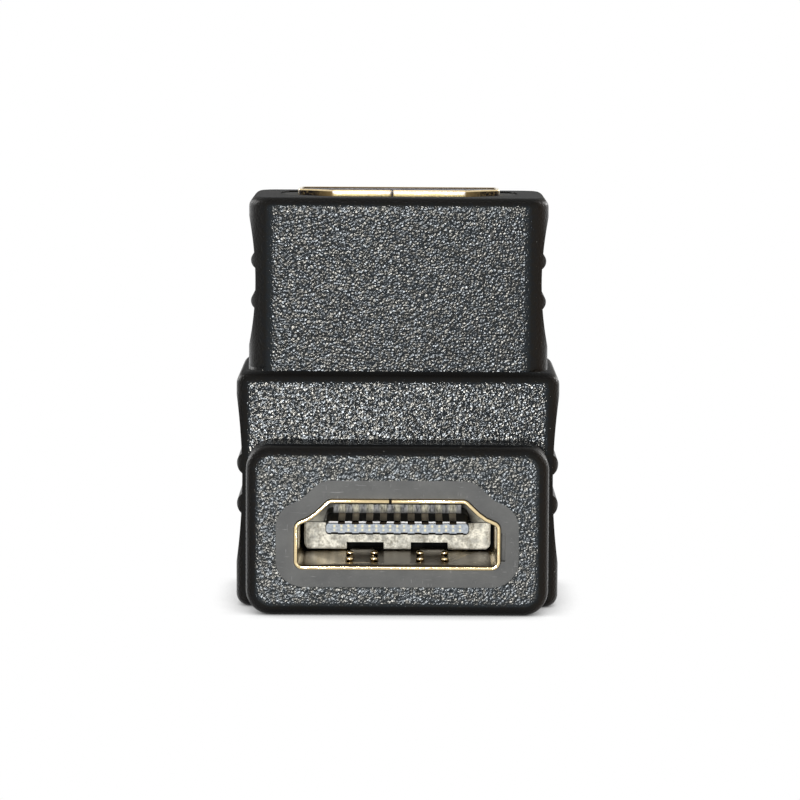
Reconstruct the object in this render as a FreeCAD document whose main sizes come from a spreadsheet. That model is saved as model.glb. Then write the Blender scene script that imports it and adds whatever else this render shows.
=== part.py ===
import FreeCAD, Part
import os
import re
import Sketcher
from FreeCAD import Placement, Rotation, Vector

# Right angle video adapter: a black moulded elbow with a 19-contact socket in its
# front end and another in its top end. Millimetres, +Z up, the front socket opens
# towards -Y and the top socket towards +Z. The origin is on the base, under the
# middle of the adapter's outer box.

os.makedirs("parts", exist_ok=True)
doc = FreeCAD.newDocument("right_angle_video_adapter")

# Driving sizes: alias, value, what it measures
SIZES = [
    ("block_width", 23.4, "corner block, side to side"),
    ("block_depth", 14.2, "corner block, front to back"),
    ("block_height", 17.15, "corner block, base to its top ledge"),
    ("block_corner", 1.1, "round on the block's upright edges"),
    ("block_round", 0.9, "round along the block's base and ledge"),
    ("arm_width", 21.74, "upright arm, side to side"),
    ("arm_depth", 12.2, "upright arm, front to back"),
    ("arm_length", 12.55, "upright arm above the block's ledge"),
    ("arm_step", 1.0, "arm's front face behind the block's front face"),
    ("arm_corner", 1.75, "round on the arm's upright edges"),
    ("arm_round", 0.7, "round along the arm's end"),
    ("stub_width", 21.7, "front stub, side to side"),
    ("stub_height", 12.3, "front stub, base to top"),
    ("stub_corner", 1.8, "round on the stub's four long edges"),
    ("stub_round", 0.95, "round along the stub's end"),
    ("block_grip_span", 12.4, "height of the block's side hollow"),
    ("block_grip_sink", 0.445, "depth of the block's side hollow"),
    ("block_grip_middle", 9.35, "middle of the block's side hollow above the base"),
    ("block_ridge_radius", 0.85, "radius of a grip ridge on the block"),
    ("block_ridge_middle", 9.0, "middle between the block's two ridges above the base"),
    ("block_ridge_drop", 0.04, "block's ridge crests inside its side face"),
    ("arm_grip_span", 9.5, "height of the arm's side hollow"),
    ("arm_grip_sink", 0.5, "depth of the arm's side hollow"),
    ("arm_grip_middle", 6.45, "middle of the arm's side hollow above the ledge"),
    ("arm_ridge_radius", 0.64, "radius of a grip ridge on the arm"),
    ("arm_ridge_middle", 6.5, "middle between the arm's two ridges above the ledge"),
    ("arm_ridge_drop", 0.17, "arm's ridge crests inside its side face"),
    ("ridge_spacing", 2.95, "distance between the two ridges of a hollow"),
    ("socket_width", 14.2, "socket opening, side to side inside the shell"),
    ("socket_height", 4.5, "socket opening, wide side to narrow side"),
    ("socket_round", 0.35, "inside round at the shell's bends"),
    ("narrow_flat", 9.32, "narrow side between the centres of its bends"),
    ("shoulder_height", 2.99, "side of the opening, floor to the shoulder's foot"),
    ("shoulder_run", 0.95, "shoulder, from the side's bend to the slanted wall"),
    ("shoulder_rise", 0.41, "shoulder, from its foot up to the slanted wall"),
    ("neck_share", 0.3, "share of shoulder and slanted wall taken by the easy bend between them"),
    ("socket_length", 9.8, "shell, rim to rear edge"),
    ("socket_rise", 5.95, "middle of the front socket above the base"),
    ("shell_sheet", 0.3, "thickness of the stamped shell"),
    ("shell_proud", 0.38, "rim standing out of the end face"),
    ("seam_gap", 0.1, "gap at the shell's folded seam"),
    ("seam_offset", 0.5, "seam beside the middle of the narrow side"),
    ("collar_margin", 1.3, "inner mould showing round the shell"),
    ("collar_recess", 0.1, "inner mould's end below the end face"),
    ("slit_width", 0.33, "slit in the collar beside the front shell"),
    ("slit_height", 2.05, "slit, top to bottom"),
    ("slit_drop", 0.92, "middle of the slit below the socket's middle"),
    ("slit_depth", 0.6, "slit, into the collar"),
    ("mould_cover", 1.6, "inner mould behind the board"),
    ("finger_offset", 2.54, "spring finger beside the middle"),
    ("finger_width", 1.8, "spring finger, side to side"),
    ("finger_start", 2.0, "root of a finger behind the rim"),
    ("finger_knee", 3.4, "bend in a finger's ramp behind the rim"),
    ("finger_apex", 4.9, "contact point of a finger behind the rim"),
    ("finger_rear", 1.7, "free end of a finger before the shell's rear edge"),
    ("finger_knee_rise", 0.24, "bend in a finger's ramp inside the wall"),
    ("finger_rise", 0.38, "contact point of a finger inside the wall"),
    ("finger_tip_rise", 0.12, "free end of a finger inside the wall"),
    ("window_margin", 0.2, "window round a finger's sides and free end"),
    ("finger_relief", 0.4, "space in the mould behind a window"),
    ("leg_width", 1.3, "shell's solder leg, side to side"),
    ("leg_lap", 2.0, "upright shell's legs along the board"),
    ("leg_clearance", 0.08, "play round a leg in the board's slot"),
    ("tongue_width", 10.3, "contact tongue, side to side"),
    ("tongue_thickness", 0.97, "contact tongue, face to face"),
    ("tongue_offset", 0.3, "tongue's middle towards the narrow side"),
    ("tongue_recess", 1.2, "tongue's front behind the rim"),
    ("tongue_bevel", 0.16, "bevel on the tongue's front edges"),
    ("tongue_round", 0.35, "round on the tongue's long edges"),
    ("root_reach", 1.81, "thick root of the tongue, out of the base"),
    ("root_width", 9.3, "thick root, side to side"),
    ("root_step", 0.62, "thick root above the tongue"),
    ("base_length", 2.15, "insulator's base, front to rear"),
    ("base_width", 13.66, "insulator's base, side to side"),
    ("base_round", 0.45, "round on the base's two lower corners"),
    ("base_edge", 0.12, "bevel round the base's front"),
    ("base_step", 0.12, "base above the tongue set back"),
    ("base_clearance", 0.12, "gap between the base and the shell's walls"),
    ("pocket_width", 10.9, "pocket beside the root, at the tongue"),
    ("pocket_top", 9.6, "pocket beside the root, at the narrow side"),
    ("pocket_depth", 1.3, "pocket beside the root, into the base"),
    ("pocket_roof", 0.45, "wall of the base over the pocket"),
    ("notch_offset", 2.35, "notch for a finger's free end beside the middle"),
    ("notch_width", 2.72, "notch for a finger's free end, side to side"),
    ("notch_height", 0.63, "notch for a finger's free end, off the wall"),
    ("contact_pitch", 1.0, "contact to contact in one row"),
    ("contact_width", 0.5, "contact, side to side"),
    ("contact_sheet", 0.2, "thickness of a contact"),
    ("contact_recess", 1.55, "contact's tip behind the rim"),
    ("contact_nose", 0.08, "bevel on a contact's tip"),
    ("contact_bend", 0.12, "bevel across a contact's bend"),
    ("contact_room", 0.88, "front shell's rear edge to the circuit board"),
    ("foot_length", 1.6, "solder foot of a front contact"),
    ("tail_length", 1.8, "solder tail of a top contact on the board"),
    ("board_width", 16.0, "circuit board, side to side"),
    ("board_thickness", 1.0, "circuit board, face to face"),
    ("board_foot", 2.95, "lower edge of the board above the base"),
    ("board_gap", 0.6, "board's upper edge below the upright shell"),
]

# Places that follow from the sizes: name and expression
PLACES = [
    ("stub_reach", "socket_length - shell_proud + contact_room + board_thickness / 2"
                   " + tongue_offset - arm_depth / 2 - arm_step"),
    ("end_face", "(shell_proud - stub_reach - block_depth) / 2"),
    ("front_rim", "end_face - shell_proud"),
    ("block_front", "end_face + stub_reach"),
    ("arm_front", "block_front + arm_step"),
    ("arm_middle", "arm_front + arm_depth / 2"),
    ("arm_end", "block_height + arm_length"),
    ("top_rim", "arm_end + shell_proud"),
    ("board_front", "arm_middle - tongue_offset - board_thickness / 2"),
    ("board_back", "board_front + board_thickness"),
    ("board_top", "top_rim - socket_length - board_gap"),
    ("board_depth", "board_front - front_rim"),
    ("wall", "socket_height / 2"),
    ("shell_out", "socket_round + shell_sheet"),
    ("bend_across", "socket_width / 2 - socket_round"),
    ("shoulder_foot", "shoulder_height - wall - socket_round"),
    ("neck_across", "bend_across - shoulder_run"),
    ("neck_up", "shoulder_foot + shoulder_rise"),
    ("collar_out", "shell_out + collar_margin"),
    ("collar_half", "wall + shell_sheet + collar_margin"),
    ("half_tongue", "tongue_thickness / 2"),
    ("groove_floor", "half_tongue - contact_sheet"),
    ("base_recess", "socket_length - base_length"),
    ("root_recess", "base_recess - root_reach"),
    ("finger_end", "socket_length - finger_rear"),
    ("leg_edge", "board_thickness / 2 - tongue_offset"),
    ("window_width", "finger_width + 2 * window_margin"),
]

CONTACTS = range(1, 20)
SIDES = (("left", "-"), ("right", "+"))
WALLS = (("wide", "-"), ("narrow", "+"))
ALONG_DEPTH = Vector(0, 1, 0)
UPRIGHT = Rotation(Vector(0, 0, 1), 180).multiply(Rotation(Vector(1, 0, 0), -90))


def make_sheet():
    """Write the driving sizes into a spreadsheet, one row each."""
    sheet = doc.addObject("Spreadsheet::Sheet", "Sizes")
    for row, (alias, size, meaning) in enumerate(SIZES, start=1):
        sheet.set(f"A{row}", meaning)
        sheet.set(f"B{row}", str(size))
        sheet.setAlias(f"B{row}", alias)
    doc.recompute()


def linked(text):
    """Put the sheet's or the place list's name before each word it owns."""
    def owner(match):
        word = match.group()
        if word in SIZE_NAMES:
            return "Sizes." + word
        if word in PLACE_NAMES:
            return "Places." + word
        return word
    return re.sub(r"[a-z_]+", owner, text)


def bind(thing, prop, text):
    """Tie a property to an expression of sizes and places."""
    thing.setExpression(prop, linked(text))


def make_places():
    """Keep each derived place as a property that follows the sheet."""
    places = doc.addObject("App::VarSet", "Places")
    for name, text in PLACES:
        places.addProperty("App::PropertyFloat", name, "Places", "")
        bind(places, name, text)
        doc.recompute()


def make_reader():
    """A loose value that nothing follows, to read an expression's result."""
    reader = doc.addObject("App::VarSet", "Reader")
    reader.addProperty("App::PropertyFloat", "result", "Reader", "")
    return reader


def number(text):
    """The present value of an expression, for a sketch's first position."""
    bind(reader, "result", text)
    reader.recompute()
    return reader.result


SIZE_NAMES = {alias for alias, size, meaning in SIZES}
PLACE_NAMES = {name for name, text in PLACES}
make_sheet()
make_places()
reader = make_reader()


def draw(sketch, corners):
    """Draw a closed outline of straight lines, each corner held by two expressions."""
    points = [Vector(number(across), number(up), 0) for across, up in corners]
    count = len(points)
    first = sketch.GeometryCount
    for index in range(count):
        line = Part.LineSegment(points[index], points[(index + 1) % count])
        sketch.addGeometry(line, False)
    for index in range(count):
        after = first + (index + 1) % count
        sketch.addConstraint(Sketcher.Constraint("Coincident", first + index, 2, after, 1))
    for index, (across, up) in enumerate(corners, start=first):
        point = points[index - first]
        for kind, text, start in (("DistanceX", across, point.x), ("DistanceY", up, point.y)):
            held = sketch.addConstraint(Sketcher.Constraint(kind, -1, 1, index, 1, start))
            sketch.renameConstraint(held, f"{kind[-1].lower()}{index}")
            bind(sketch, f"Constraints.{kind[-1].lower()}{index}", text)


def plane_of(body, role):
    """One of a body's own origin planes."""
    return [item for item in body.Origin.OriginFeatures if item.Role == role][0]


def body_sketch(body, name, role, outlines, lift="0"):
    """A sketch on a body's origin plane, lifted along that plane's normal."""
    sketch = body.newObject("Sketcher::SketchObject", name)
    sketch.AttachmentSupport = [(plane_of(body, role), "")]
    sketch.MapMode = "FlatFace"
    bind(sketch, "AttachmentOffset.Base.z", lift)
    for corners in outlines:
        draw(sketch, corners)
    return sketch


def padded(name, role, corners, length, lift="0", side="One side"):
    """A body that holds one straight-sided outline, padded."""
    body = doc.addObject("PartDesign::Body", name)
    sketch = body_sketch(body, name + "_sketch", role, [corners], lift)
    pad = body.newObject("PartDesign::Pad", name + "_pad")
    pad.Profile = sketch
    pad.SideType = side
    bind(pad, "Length", length)
    return body


def dress_edges(kind, body, name, chosen):
    """Fillet or chamfer the edges of a body's last feature that a test chooses."""
    doc.recompute()
    last = body.Tip
    edges = [f"Edge{place}" for place, edge in enumerate(last.Shape.Edges, start=1) if chosen(edge)]
    feature = body.newObject(kind, name)
    feature.Base = (last, edges)
    return feature


def rounded(body, name, radius, chosen):
    """Fillet a body's chosen edges."""
    bind(dress_edges("PartDesign::Fillet", body, name, chosen), "Radius", radius)


def bevelled(body, name, size, chosen):
    """Chamfer a body's chosen edges."""
    bind(dress_edges("PartDesign::Chamfer", body, name, chosen), "Size", size)


def runs_along(axis):
    """A test for straight edges parallel to one axis."""
    def chosen(edge):
        step = edge.Vertexes[-1].Point - edge.Vertexes[0].Point
        return abs(abs(step.dot(axis)) - edge.Length) < 1e-6
    return chosen


def lies_at(axis, *levels):
    """A test for edges that lie wholly at one of some levels along an axis."""
    def chosen(edge):
        heights = [vertex.Point.dot(axis) for vertex in edge.Vertexes]
        return any(max(abs(height - level) for height in heights) < 1e-6 for level in levels)
    return chosen


def all_of(*tests):
    """A test that holds where all of some tests hold."""
    return lambda edge: all(chosen(edge) for chosen in tests)


def box(name, low, size):
    """A box from the expressions of its low corner and of its three sides."""
    block = doc.addObject("Part::Box", name)
    for axis, text in zip("xyz", low):
        bind(block, f"Placement.Base.{axis}", text)
    for prop, text in zip(("Length", "Width", "Height"), size):
        bind(block, prop, text)
    return block


def fused(name, pieces):
    """All pieces joined into one."""
    whole = doc.addObject("Part::MultiFuse", name)
    whole.Shapes = pieces
    whole.Refine = True
    return whole


def without(name, base, pieces):
    """The base with all pieces taken out of it."""
    tool = pieces[0]
    if len(pieces) > 1:
        tool = fused(name + "_tools", pieces)
    rest = doc.addObject("Part::Cut", name)
    rest.Base = base
    rest.Tool = tool
    rest.Refine = True
    return rest


def rectangle(half_width, low, high):
    """Corners of a rectangle that is centred from side to side."""
    return [(f"-({half_width})", low), (half_width, low), (half_width, high), (f"-({half_width})", high)]


# Seats: a socket piece is drawn with its rim at y = 0, its depth along +Y and its
# narrow side towards +Z, and is then set into the front stub or the upright arm.

def seat_front(piece, across="0"):
    bind(piece, "Placement.Base.x", across)
    bind(piece, "Placement.Base.y", "front_rim")
    bind(piece, "Placement.Base.z", "socket_rise")


def seat_top(piece, across="0"):
    piece.Placement = Placement(Vector(0, 0, 0), UPRIGHT)
    bind(piece, "Placement.Base.x", across)
    bind(piece, "Placement.Base.y", "arm_middle")
    bind(piece, "Placement.Base.z", "top_rim")


# D-shaped bars: every socket outline is an offset of the same core outline, which
# runs through the centres of the shell's bends

def make_core():
    core = doc.addObject("Sketcher::SketchObject", "socket_core")
    core.Placement = Placement(Vector(0, 0, 0), Rotation(Vector(1, 0, 0), 90))
    floor = "socket_round - wall"
    half = [("bend_across", floor), ("bend_across", "shoulder_foot"),
            ("neck_across + neck_share * shoulder_run", "neck_up - neck_share * shoulder_rise"),
            ("neck_across - neck_share * (neck_across - narrow_flat / 2)",
             "neck_up + neck_share * (wall - socket_round - neck_up)"),
            ("narrow_flat / 2", "wall - socket_round")]
    draw(core, half + [(f"-({across})", up) for across, up in reversed(half)])
    return core


def d_bar(name, margin, start, length):
    """A bar of the socket's D shape, so far outside the core outline."""
    outline = doc.addObject("Part::Offset2D", name + "_outline")
    outline.Source = core
    outline.Join = "Arc"
    bind(outline, "Value", margin)
    bar = doc.addObject("Part::Extrusion", name)
    bar.Base = outline
    bar.DirMode = "Custom"
    bar.Dir = ALONG_DEPTH
    bar.Solid = True
    bind(bar, "LengthFwd", length)
    bind(bar, "Placement.Base.y", start)
    return bar


core = make_core()


# Outer moulding: corner block, upright arm and front stub, with finger grips in
# the sides and two D-shaped ways in for the inner mould

def make_block_form():
    across = "block_width / 2"
    body = padded("block_form", "XY_Plane", rectangle(across, "block_front", "block_front + block_depth"),
                  "block_height")
    rounded(body, "block_upright_rounds", "block_corner", runs_along(Vector(0, 0, 1)))
    rounded(body, "block_rim_rounds", "block_round", lies_at(Vector(0, 0, 1), 0, number("block_height")))
    return without("gripped_block", body, [make_grip("block", "0", side, sign) for side, sign in SIDES])


def make_arm_form():
    across = "arm_width / 2"
    body = padded("arm_form", "XY_Plane", rectangle(across, "arm_front", "arm_front + arm_depth"),
                  "arm_length + block_round", lift="block_height - block_round")
    rounded(body, "arm_upright_rounds", "arm_corner", runs_along(Vector(0, 0, 1)))
    rounded(body, "arm_end_rounds", "arm_round", lies_at(Vector(0, 0, 1), number("arm_end")))
    return without("gripped_arm", body, [make_grip("arm", "block_height", side, sign) for side, sign in SIDES])


def make_stub_form():
    body = padded("stub_form", "XZ_Plane", rectangle("stub_width / 2", "0", "stub_height"),
                  "stub_reach + stub_corner", lift="-(block_front + stub_corner)")
    rounded(body, "stub_long_rounds", "stub_corner", runs_along(ALONG_DEPTH))
    rounded(body, "stub_end_rounds", "stub_round", lies_at(ALONG_DEPTH, number("end_face")))
    return body


def grip_cylinder(name, radius, across, up):
    """A cylinder lying from front to back beside the moulding."""
    roller = doc.addObject("Part::Cylinder", name)
    roller.Placement = Placement(Vector(0, 0, 0), Rotation(Vector(1, 0, 0), -90))
    bind(roller, "Radius", radius)
    bind(roller, "Height", "2 * block_depth")
    bind(roller, "Placement.Base.x", across)
    bind(roller, "Placement.Base.y", "-block_depth")
    bind(roller, "Placement.Base.z", up)
    return roller


def make_grip(part, floor, side, sign):
    """The shallow hollow in one side of the block or arm, less its two ridges."""
    name = f"{part}_{side}_grip"
    bow = f"(({part}_grip_span ^ 2 / 4 + {part}_grip_sink ^ 2) / (2 * {part}_grip_sink))"
    hollow = grip_cylinder(name + "_hollow", bow,
                           f"{sign}({part}_width / 2 - {part}_grip_sink + {bow})",
                           f"{floor} + {part}_grip_middle")
    crest = f"{sign}({part}_width / 2 - {part}_ridge_drop - {part}_ridge_radius)"
    ridges = [grip_cylinder(f"{name}_ridge_{row}", f"{part}_ridge_radius", crest,
                            f"{floor} + {part}_ridge_middle + {step} * ridge_spacing / 2")
              for row, step in (("low", -1), ("high", 1))]
    return without(name, hollow, ridges)


def make_outer_moulding():
    forms = fused("elbow_form", [make_block_form(), make_arm_form(), make_stub_form()])
    return without("outer_moulding", forms, make_collars("way", "-stub_reach"))


# Inner mould: the dark grey moulding round both sockets and the board, an elbow of
# two D-shaped bars whose ends show as collars

def make_collars(name, start):
    """The two bars of the inner mould, from a start behind the rims to their ends."""
    front = d_bar(f"{name}_front", "collar_out", start,
                  f"board_back + mould_cover - front_rim - ({start})")
    seat_front_from(front, start)
    top = d_bar(f"{name}_top", "collar_out", start,
                f"top_rim - socket_rise + collar_half - ({start})")
    seat_top_from(top, start)
    return [front, top]


def seat_front_from(bar, start):
    """Seat a bar in the stub with its start so far behind the rim."""
    seat_front(bar)
    bind(bar, "Placement.Base.y", f"front_rim + ({start})")


def seat_top_from(bar, start):
    """Seat a bar in the arm with its start so far below the rim."""
    seat_top(bar)
    bind(bar, "Placement.Base.z", f"top_rim - ({start})")


def shell_space(name, seat):
    """The room of a shell in the inner mould, with the reliefs behind its windows."""
    bar = d_bar(name + "_bar", "shell_out", "0", "socket_length")
    reliefs = [box(f"{name}_relief_{wall_name}_{side}",
                   (f"{sign}finger_offset - window_width / 2", "finger_start",
                    f"{face}(wall + shell_sheet / 2) - {share} * (finger_relief + shell_sheet / 2)"),
                   ("window_width", "finger_end + window_margin - finger_start",
                    "finger_relief + shell_sheet / 2"))
               for (wall_name, face), share in zip(WALLS, (1, 0))
               for side, sign in SIDES]
    space = fused(name, [bar] + reliefs)
    seat(space)
    return space


def leg_space(name, length, seat):
    """The room of one shell's two solder legs."""
    legs = [shell_leg(f"{name}_{side}", sign, length) for side, sign in SIDES]
    space = fused(name, legs)
    seat(space)
    return space


def make_slit():
    """The slit in the collar on the right of the front shell."""
    return box("slit", ("socket_width / 2 + shell_sheet", "front_rim",
                        "socket_rise - slit_drop - slit_height / 2"),
               ("slit_width", "shell_proud + collar_recess + slit_depth", "slit_height"))


def make_inner_mould(contacts):
    bars = fused("inner_form", make_collars("collar", "shell_proud + collar_recess"))
    board = box("board_space", ("-board_width / 2", "board_front", "board_foot"),
                ("board_width", "board_thickness", "board_top - board_foot"))
    rooms = [shell_space("front_shell_space", seat_front),
             shell_space("top_shell_space", seat_top),
             leg_space("front_leg_space", "board_depth + board_thickness - socket_length", seat_front),
             leg_space("top_leg_space", "board_gap + leg_lap", seat_top),
             make_slit(),
             board]
    return without("inner_mould", bars, rooms + contacts)


# Shells: one folded strip of gold-plated sheet with a seam on the narrow side, two
# spring fingers pressed into each long wall and two solder legs

def shell_leg(name, sign, length):
    """A solder leg in line with one side wall, starting at the rear edge."""
    share = 1 if sign == "-" else 0
    return box(name,
               (f"{sign}socket_width / 2 - {share} * shell_sheet", "socket_length",
                "-(leg_edge + leg_width)"),
               ("shell_sheet", length, "leg_width"))


def make_finger(name, face, sign):
    """A spring finger bent inwards from one long wall, free at its rear end."""
    def level(inward):
        return f"{face}(wall - ({inward}))"
    out = "-shell_sheet"
    corners = [("finger_start - shell_sheet", level("0")), ("finger_start", level("0")),
               ("finger_knee", level("finger_knee_rise")),
               ("finger_apex - shell_sheet", level("finger_rise")),
               ("finger_apex + shell_sheet", level("finger_rise")),
               ("finger_end", level("finger_tip_rise")),
               ("finger_end", level(f"finger_tip_rise {out}")),
               ("finger_apex + shell_sheet", level(f"finger_rise {out}")),
               ("finger_apex - shell_sheet", level(f"finger_rise {out}")),
               ("finger_knee", level(f"finger_knee_rise {out}")),
               ("finger_start", level(out)), ("finger_start - shell_sheet", level(out))]
    finger = padded(name, "YZ_Plane", corners, "finger_width", side="Symmetric")
    bind(finger, "Placement.Base.x", f"{sign}finger_offset")
    return finger


def make_window(name, face, sign):
    """The cut-out round a finger, through the wall."""
    share = 1 if face == "-" else 0
    return box(name,
               (f"{sign}finger_offset - window_width / 2", "finger_start",
                f"{face}wall - {share} * 2 * shell_sheet - shell_sheet / 2 + {share} * shell_sheet"),
               ("window_width", "finger_end + window_margin - finger_start", "2 * shell_sheet"))


def make_shell(name, seat, leg_length, seam_side):
    outside = d_bar(name + "_outside", "shell_out", "0", "socket_length")
    inside = d_bar(name + "_inside", "socket_round", "-1", "socket_length + 2")
    seam = box(name + "_seam", (f"{seam_side}seam_offset - seam_gap / 2", "-1", "wall - shell_sheet"),
               ("seam_gap", "socket_length + 2", "3 * shell_sheet"))
    spots = [(f"{name}_{wall_name}_{side}", face, sign)
             for wall_name, face in WALLS for side, sign in SIDES]
    windows = [make_window(f"{spot}_window", face, sign) for spot, face, sign in spots]
    tube = without(name + "_tube", outside, [inside, seam] + windows)
    fingers = [make_finger(f"{spot}_finger", face, sign) for spot, face, sign in spots]
    legs = [shell_leg(f"{name}_{side}_leg", sign, leg_length) for side, sign in SIDES]
    shell = fused(name, [tube] + fingers + legs)
    seat(shell)
    return shell


# Insulators: a pale base that closes the shell's rear, with the contact tongue, its
# thick root, a groove for each contact and notches for the fingers' free ends

def make_tongue(name):
    low = "tongue_offset - half_tongue"
    high = "tongue_offset + half_tongue"
    corners = [("tongue_recess", f"{low} + tongue_bevel"), ("tongue_recess + tongue_bevel", low),
               ("base_recess + pocket_depth", low), ("base_recess + pocket_depth", high),
               ("tongue_recess + tongue_bevel", high), ("tongue_recess", f"{high} - tongue_bevel")]
    body = padded(name, "YZ_Plane", corners, "tongue_width", side="Symmetric")
    rounded(body, name + "_rounds", "tongue_round", runs_along(ALONG_DEPTH))
    return body


def make_base(name):
    """The base: a block with two rounded lower corners inside the socket's D shape."""
    block = padded(name + "_block", "XZ_Plane",
                   rectangle("base_width / 2", "base_clearance - wall", "wall"),
                   "base_length", lift="-socket_length")
    rounded(block, name + "_corners", "base_round",
            all_of(runs_along(ALONG_DEPTH), lies_at(Vector(0, 0, 1), number("base_clearance - wall"))))
    bevelled(block, name + "_bevel", "base_edge", lies_at(ALONG_DEPTH, number("base_recess")))
    bar = d_bar(name + "_bar", "socket_round - base_clearance", "base_recess", "base_length")
    form = doc.addObject("Part::MultiCommon", name)
    form.Shapes = [bar, block]
    return form


def make_groove(name, index):
    """The straight groove of one contact, from the tongue's front to the base's rear."""
    sign = "+" if index % 2 == 0 else "-"
    share = 1 if index % 2 else 0
    return box(name,
               (f"(10 - {index}) * contact_pitch / 2 - contact_width / 2", "tongue_recess",
                f"tongue_offset {sign} groove_floor - {share} * contact_sheet"),
               ("contact_width", "socket_length - tongue_recess", "contact_sheet"))


def make_insulator(name, seat):
    step = box(name + "_step", ("-base_width / 2", "base_recess", "tongue_offset - half_tongue"),
               ("base_width", "base_step", "socket_height"))
    pocket = padded(name + "_pocket", "XZ_Plane",
                    [("-pocket_width / 2", "tongue_offset - half_tongue"),
                     ("pocket_width / 2", "tongue_offset - half_tongue"),
                     ("pocket_top / 2", "wall - pocket_roof"),
                     ("-pocket_top / 2", "wall - pocket_roof")],
                    "pocket_depth", lift="-(base_recess + pocket_depth)")
    notches = [box(f"{name}_{wall_name}_{side}_notch",
                   (f"{sign}notch_offset - notch_width / 2", "base_recess",
                    f"{face}wall - {share} * notch_height"),
                   ("notch_width", "base_length", "notch_height"))
               for (wall_name, face), share in zip(WALLS, (0, 1))
               for side, sign in SIDES]
    body = without(name + "_body", make_base(name + "_base"), [step, pocket] + notches)
    root = box(name + "_root", ("-root_width / 2", "root_recess", "tongue_offset"),
               ("root_width", "base_recess + pocket_depth - root_recess", "half_tongue + root_step"))
    solid = fused(name + "_solid", [body, make_tongue(name + "_tongue"), root])
    grooves = [make_groove(f"{name}_groove_{index:02d}", index) for index in CONTACTS]
    insulator = without(name, solid, grooves)
    seat(insulator)
    return insulator


# Contacts: odd numbers in the row of ten on the wide side, even numbers in the row
# of nine on the narrow side, counted from one end at half a pitch each

def contact_start(sign):
    """The tip of a contact in its groove, the outer face first."""
    def level(away):
        return f"tongue_offset {sign} ({away})"
    nose = [("contact_recess", level("half_tongue - contact_nose")),
            ("contact_recess + contact_nose", level("half_tongue"))]
    return level, nose


def front_contact_corners(sign):
    """Straight through the base, then bent outwards along the board's front face."""
    level, nose = contact_start(sign)
    face = "board_depth"
    return nose + [
        (f"{face} - contact_sheet - contact_bend", level("half_tongue")),
        (f"{face} - contact_sheet", level("half_tongue + contact_bend")),
        (f"{face} - contact_sheet", level("groove_floor + foot_length")),
        (face, level("groove_floor + foot_length")),
        (face, level("groove_floor + contact_bend")),
        (f"{face} - contact_bend", level("groove_floor")),
        ("contact_recess", level("groove_floor")),
    ]


def top_contact_corners(sign):
    """Through the base, then set outwards to straddle the board's upper edge."""
    level, nose = contact_start(sign)
    edge = "socket_length + board_gap"
    board = "board_thickness / 2"
    return nose + [
        ("socket_length", level("half_tongue")),
        (edge, level(f"{board} + contact_sheet")),
        (f"{edge} + tail_length", level(f"{board} + contact_sheet")),
        (f"{edge} + tail_length", level(board)),
        (edge, level(board)),
        ("socket_length", level("groove_floor")),
        ("contact_recess", level("groove_floor")),
    ]


def make_contact(name, index, corners_of, seat, hand):
    sign = "+" if index % 2 == 0 else "-"
    body = padded(name, "YZ_Plane", corners_of(sign), "contact_width", side="Symmetric")
    seat(body, f"{hand}(10 - {index}) * contact_pitch / 2")
    return body


# Circuit board: stands upright behind the front socket, whose shell legs pass
# through two slots

def make_board():
    body = padded("circuit_board", "XZ_Plane",
                  rectangle("board_width / 2", "board_foot", "board_top"),
                  "board_thickness", lift="-board_back")
    inner = "socket_width / 2 - leg_clearance"
    outer = "socket_width / 2 + shell_sheet + leg_clearance"
    low = "socket_rise - leg_edge - leg_width - leg_clearance"
    high = "socket_rise - leg_edge + leg_clearance"
    slots = [[(f"{sign}({inner})", low), (f"{sign}({outer})", low),
              (f"{sign}({outer})", high), (f"{sign}({inner})", high)] for side, sign in SIDES]
    sketch = body_sketch(body, "board_slots", "XZ_Plane", slots, "-board_back")
    pocket = body.newObject("PartDesign::Pocket", "board_slot_pocket")
    pocket.Profile = sketch
    pocket.Reversed = True
    bind(pocket, "Length", "board_thickness")
    return body


def make_parts():
    """Build every sub-part; the label of each is its file's name."""
    parts = []
    contacts = []
    for index in CONTACTS:
        contacts.append(make_contact(f"front_contact_{index:02d}", index,
                                     front_contact_corners, seat_front, "+"))
    for index in CONTACTS:
        contacts.append(make_contact(f"top_contact_{index:02d}", index,
                                     top_contact_corners, seat_top, "-"))
    parts.append(make_outer_moulding())
    parts.append(make_inner_mould(contacts))
    parts.append(make_shell("front_shell", seat_front,
                            "board_depth + board_thickness - socket_length", "-"))
    parts.append(make_insulator("front_insulator", seat_front))
    parts.append(make_shell("top_shell", seat_top, "board_gap + leg_lap", "+"))
    parts.append(make_insulator("top_insulator", seat_top))
    parts.append(make_board())
    return parts + contacts


def check(parts):
    """Stop if any object failed or any sub-part isn't one sound solid."""
    for item in doc.Objects:
        if "Invalid" in item.State or "Error" in item.State:
            raise RuntimeError(f"{item.Name} failed: {item.State}")
    for part in parts:
        shape = part.Shape
        if shape.isNull() or not shape.isValid() or len(shape.Solids) != 1:
            raise RuntimeError(f"{part.Label} isn't one valid solid")


parts = make_parts()
doc.recompute()
check(parts)
for part in parts:
    part.Shape.exportStep(f"parts/{part.Label}.step")
    print(part.Label, round(part.Shape.Volume, 3))
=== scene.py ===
# %% [markdown]
# # A right angle video adapter
# The adapter is a black moulded elbow, 30 mm high, with one metal socket in its front
# end and one in its top end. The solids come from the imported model, in metres, and
# this lesson gives each of them the finish that a macro photograph shows. The frame
# is loaded first, because every piece is placed by it.

# %% Load the frame
import math
import bpy
from mathutils import Euler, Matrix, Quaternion, Vector


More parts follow.
